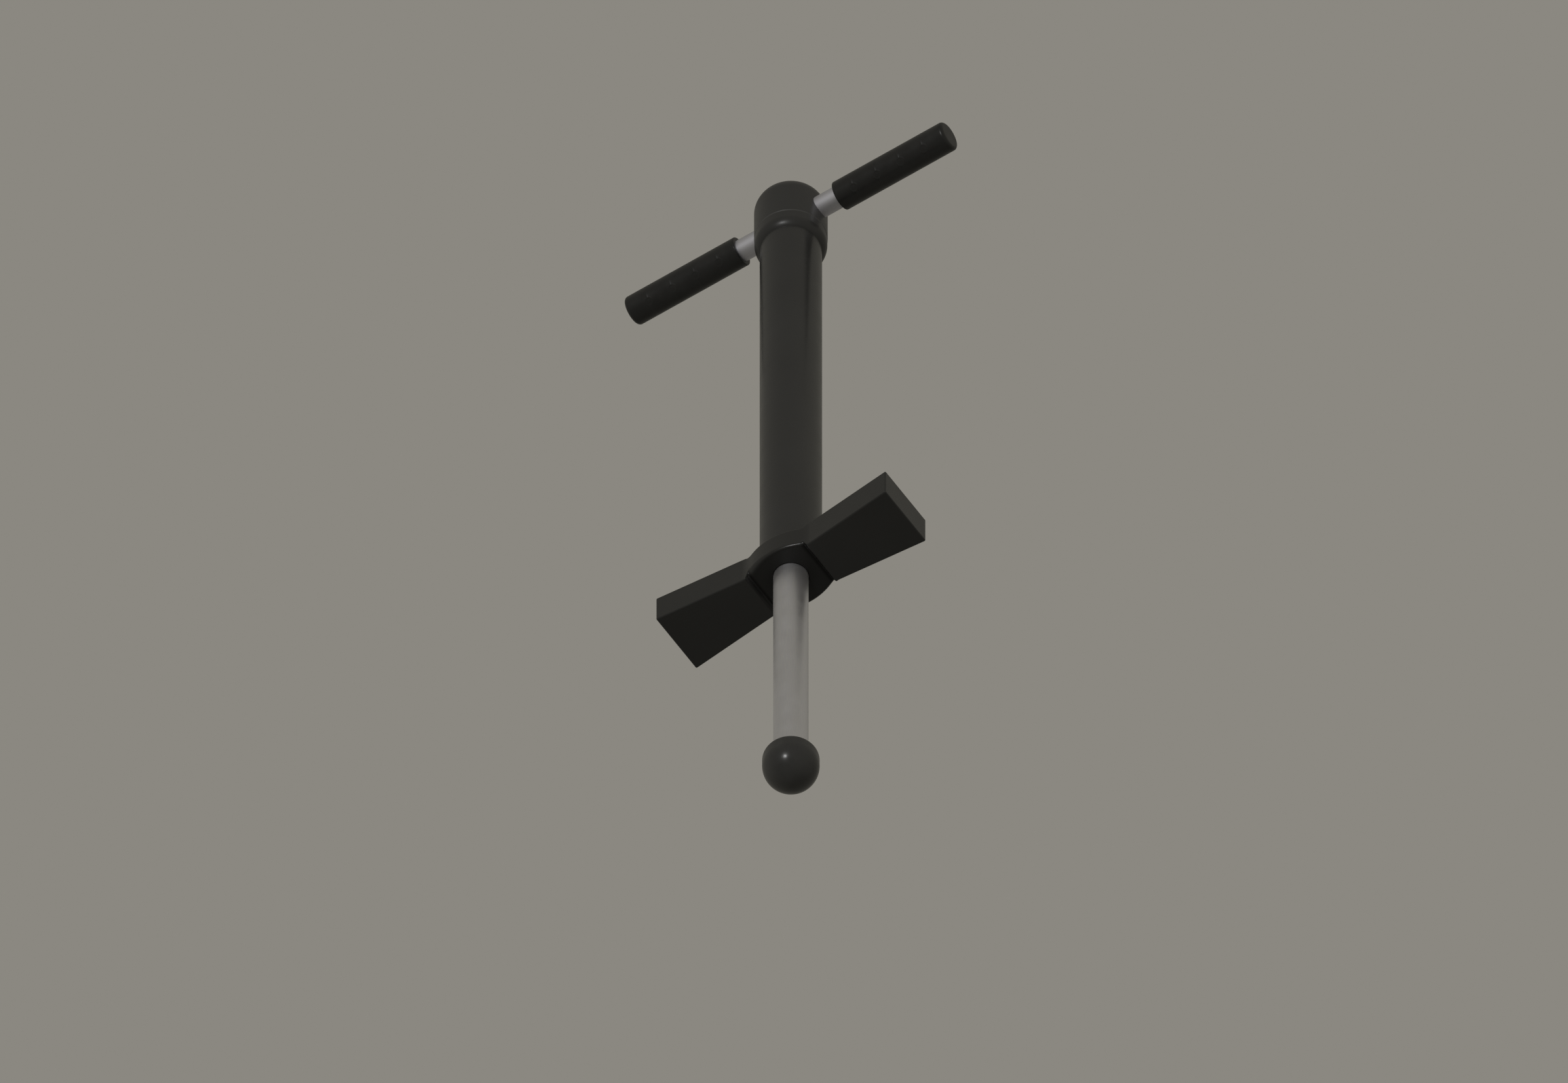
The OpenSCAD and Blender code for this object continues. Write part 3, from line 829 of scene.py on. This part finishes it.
def build_spring():
    """Coil of the main spring at rest; the real spring shortens towards its upper seat as the
    plunger slides in.
    """
    wire_r, mean_r, turns, dead = 3 * MM, 22 * MM, 26, 1.25
    ring, per_turn = 12, 40
    low, high = spring_low.z + wire_r, spring_high.z - wire_r
    dead_pitch = 6.4 * MM
    open_pitch = (high - low - 2 * dead * dead_pitch) / (turns - 2 * dead)
    verts = []
    steps = turns * per_turn
    for i in range(steps + 1):
        t = i / per_turn
        ends = min(t, dead) + max(0, t - (turns - dead))
        z = low + dead_pitch * ends + open_pitch * max(0, min(t, turns - dead) - dead)
        for j in range(ring):
            a = 2 * math.pi * j / ring
            r = mean_r + wire_r * math.cos(a)
            b = 2 * math.pi * t
            verts.append((r * math.cos(b), r * math.sin(b), z + wire_r * math.sin(a)))
    faces = [list(range(ring - 1, -1, -1)), [steps * ring + j for j in range(ring)]]
    for i in range(steps):
        for j in range(ring):
            k = (j + 1) % ring
            faces.append([i * ring + j, i * ring + k, (i + 1) * ring + k, (i + 1) * ring + j])
    spring = finish_piece(make_object("main_spring_skin", verts, faces), "main_spring")
    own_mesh(spring)


# ---------------------------------------------------------------- scene

CAMERA_AZIMUTH = math.radians(34)
CAMERA_ELEVATION = math.radians(-55.6)
FRAME_WIDTH = 1.5056  # metres of the object's space across the picture
LOOK_AT_Z = 0.4089
LOOK_LEFT = 0.0066  # the axis stands this far right of the picture's middle
BACKDROP = (0.258, 0.246, 0.219)
STUDIO_TINT = (1.045, 1.0, 0.865)
# Soft studio lights: direction towards the light, how narrow it is and its strength.
SOFT_LIGHTS = [
    ((1, 0, 0), 2, 0.190),
    ((-1, 0, 0), 2, 0.136),
    ((-1, 0, 0), 8, 0.040),
    ((0, -1, 0), 2, 0.026),
    ((-0.7, -0.7, 0), 8, 0.050),
    ((0, 0, 1), 2, 0.078),
    ((0, 0, -1), 4, 0.026),
    ((0, 0.8, 0.6), 6, 0.030),  # fills the back, out of the picture's sight
]
# Softboxes: strengths, and angular sizes in degrees.
KEY_TOWARDS = (0.199, -0.959, -0.206)
KEY_STRENGTH = 0.48
KEY_SPREAD = 7
BACK_STRENGTH = 2.4
BACK_SPREAD = 10
FLOOR_COLOUR = (0.72, 0.70, 0.66)
FLOOR_GLOW = 0.3
FLOOR_HALF = 6.0
CAMERA_DISTANCE = 3


def view_basis():
    """Camera directions in the row frame: right, and back towards the camera."""
    a, e = CAMERA_AZIMUTH, CAMERA_ELEVATION
    right = Vector((math.cos(a), math.sin(a), 0))
    back = Vector((math.sin(a) * math.cos(e), -math.cos(a) * math.cos(e), math.sin(e)))
    return right, back


def build_camera():
    right, back = view_basis()
    target = Vector((0, 0, LOOK_AT_Z)) - right * LOOK_LEFT
    data = bpy.data.cameras.new("camera")
    data.type = "ORTHO"
    data.ortho_scale = FRAME_WIDTH
    data.clip_end = 20
    camera = bpy.data.objects.new("camera", data)
    bpy.context.scene.collection.objects.link(camera)
    camera.location = target + back * CAMERA_DISTANCE
    camera.rotation_mode = "QUATERNION"
    camera.rotation_quaternion = (-back).to_track_quat("-Z", "Y")
    bpy.context.scene.camera = camera


def build_world():
    """A plain backdrop for the camera, and broad soft lights all round for everything else."""
    world = bpy.data.worlds.new("studio")
    bpy.context.scene.world = world
    world.use_nodes = True
    tree = world.node_tree
    tree.nodes.clear()
    direction = tree.nodes.new("ShaderNodeTexCoord").outputs["Generated"]
    total = None
    for towards, focus, level in SOFT_LIGHTS:
        facing = tree.nodes.new("ShaderNodeVectorMath")
        facing.operation = "DOT_PRODUCT"
        facing.inputs[1].default_value = towards
        tree.links.new(direction, facing.inputs[0])
        lobe = arithmetic(tree, "MULTIPLY_ADD", facing.outputs["Value"], 0.5, 0.5)
        lobe = arithmetic(tree, "POWER", lobe, focus)
        total = arithmetic(tree, "MULTIPLY_ADD", lobe, level, total if total else 0.0)
    light = tree.nodes.new("ShaderNodeBackground")
    light.inputs["Color"].default_value = (*STUDIO_TINT, 1)
    tree.links.new(total, light.inputs["Strength"])
    backdrop = tree.nodes.new("ShaderNodeBackground")
    backdrop.inputs["Color"].default_value = (*BACKDROP, 1)
    seen = tree.nodes.new("ShaderNodeLightPath")
    mix = tree.nodes.new("ShaderNodeMixShader")
    tree.links.new(seen.outputs["Is Camera Ray"], mix.inputs["Fac"])
    tree.links.new(light.outputs["Background"], mix.inputs[1])
    tree.links.new(backdrop.outputs["Background"], mix.inputs[2])
    output = tree.nodes.new("ShaderNodeOutputWorld")
    tree.links.new(mix.outputs["Shader"], output.inputs["Surface"])


def build_softbox(name, towards, strength, spread):
    """A far light in the given direction, with its angular size in degrees."""
    data = bpy.data.lights.new(name, "SUN")
    data.energy = strength
    data.angle = math.radians(spread)
    light = bpy.data.objects.new(name, data)
    bpy.context.scene.collection.objects.link(light)
    light.rotation_mode = "QUATERNION"
    light.rotation_quaternion = towards.to_track_quat("Z", "Y")
    return light


def build_softboxes():
    """One softbox in front, and one straight opposite the camera that fills the back and the tops.

    The second one throws no highlights, so it leaves the edges seen by the camera alone.
    """
    build_softbox("key", Vector(KEY_TOWARDS), KEY_STRENGTH, KEY_SPREAD)
    fill = build_softbox("back", -view_basis()[1], BACK_STRENGTH, BACK_SPREAD)
    fill.visible_glossy = False


def build_floor():
    """Pale floor under the tip. It shows only to a camera above it, and throws no light back."""
    mesh = bpy.data.meshes.new("floor")
    half = FLOOR_HALF
    corners = [(-half, -half, 0), (half, -half, 0), (half, half, 0), (-half, half, 0)]
    mesh.from_pydata(corners, [], [(0, 1, 2, 3)])
    floor = bpy.data.objects.new("floor", mesh)
    bpy.context.scene.collection.objects.link(floor)
    material, tree, shader, _ = principled("floor_pale")
    shader.inputs["Roughness"].default_value = 0.8
    shader.inputs["Base Color"].default_value = (*FLOOR_COLOUR, 1)
    shader.inputs["Emission Color"].default_value = (*BACKDROP, 1)
    shader.inputs["Emission Strength"].default_value = FLOOR_GLOW
    geometry = tree.nodes.new("ShaderNodeNewGeometry")
    clear = tree.nodes.new("ShaderNodeBsdfTransparent")
    mix = tree.nodes.new("ShaderNodeMixShader")
    tree.links.new(geometry.outputs["Backfacing"], mix.inputs["Fac"])
    tree.links.new(shader.outputs["BSDF"], mix.inputs[1])
    tree.links.new(clear.outputs["BSDF"], mix.inputs[2])
    tree.links.new(mix.outputs["Shader"], tree.nodes["Material Output"].inputs["Surface"])
    paint(floor, material)
    floor.visible_diffuse = False
    floor.visible_glossy = False
    floor.visible_shadow = False


for node, obj in frame["nodes"].items():
    paint(obj, MATERIALS[SLOT_OF[node]])

build_outer_tube()
build_head_cap()
build_head_collar()
build_handlebar()
build_grip("left_grip_skin", "left_grip", -1)
build_grip("right_grip_skin", "right_grip", 1)
build_footrest()
build_tread_pad("left_tread_skin", "left_tread_pad", -1)
build_tread_pad("right_tread_skin", "right_tread_pad", 1)
build_plunger_rod()
build_rubber_tip()
build_spring()
build_camera()
build_world()
build_softboxes()
build_floor()
bpy.context.scene.view_settings.view_transform = "Standard"
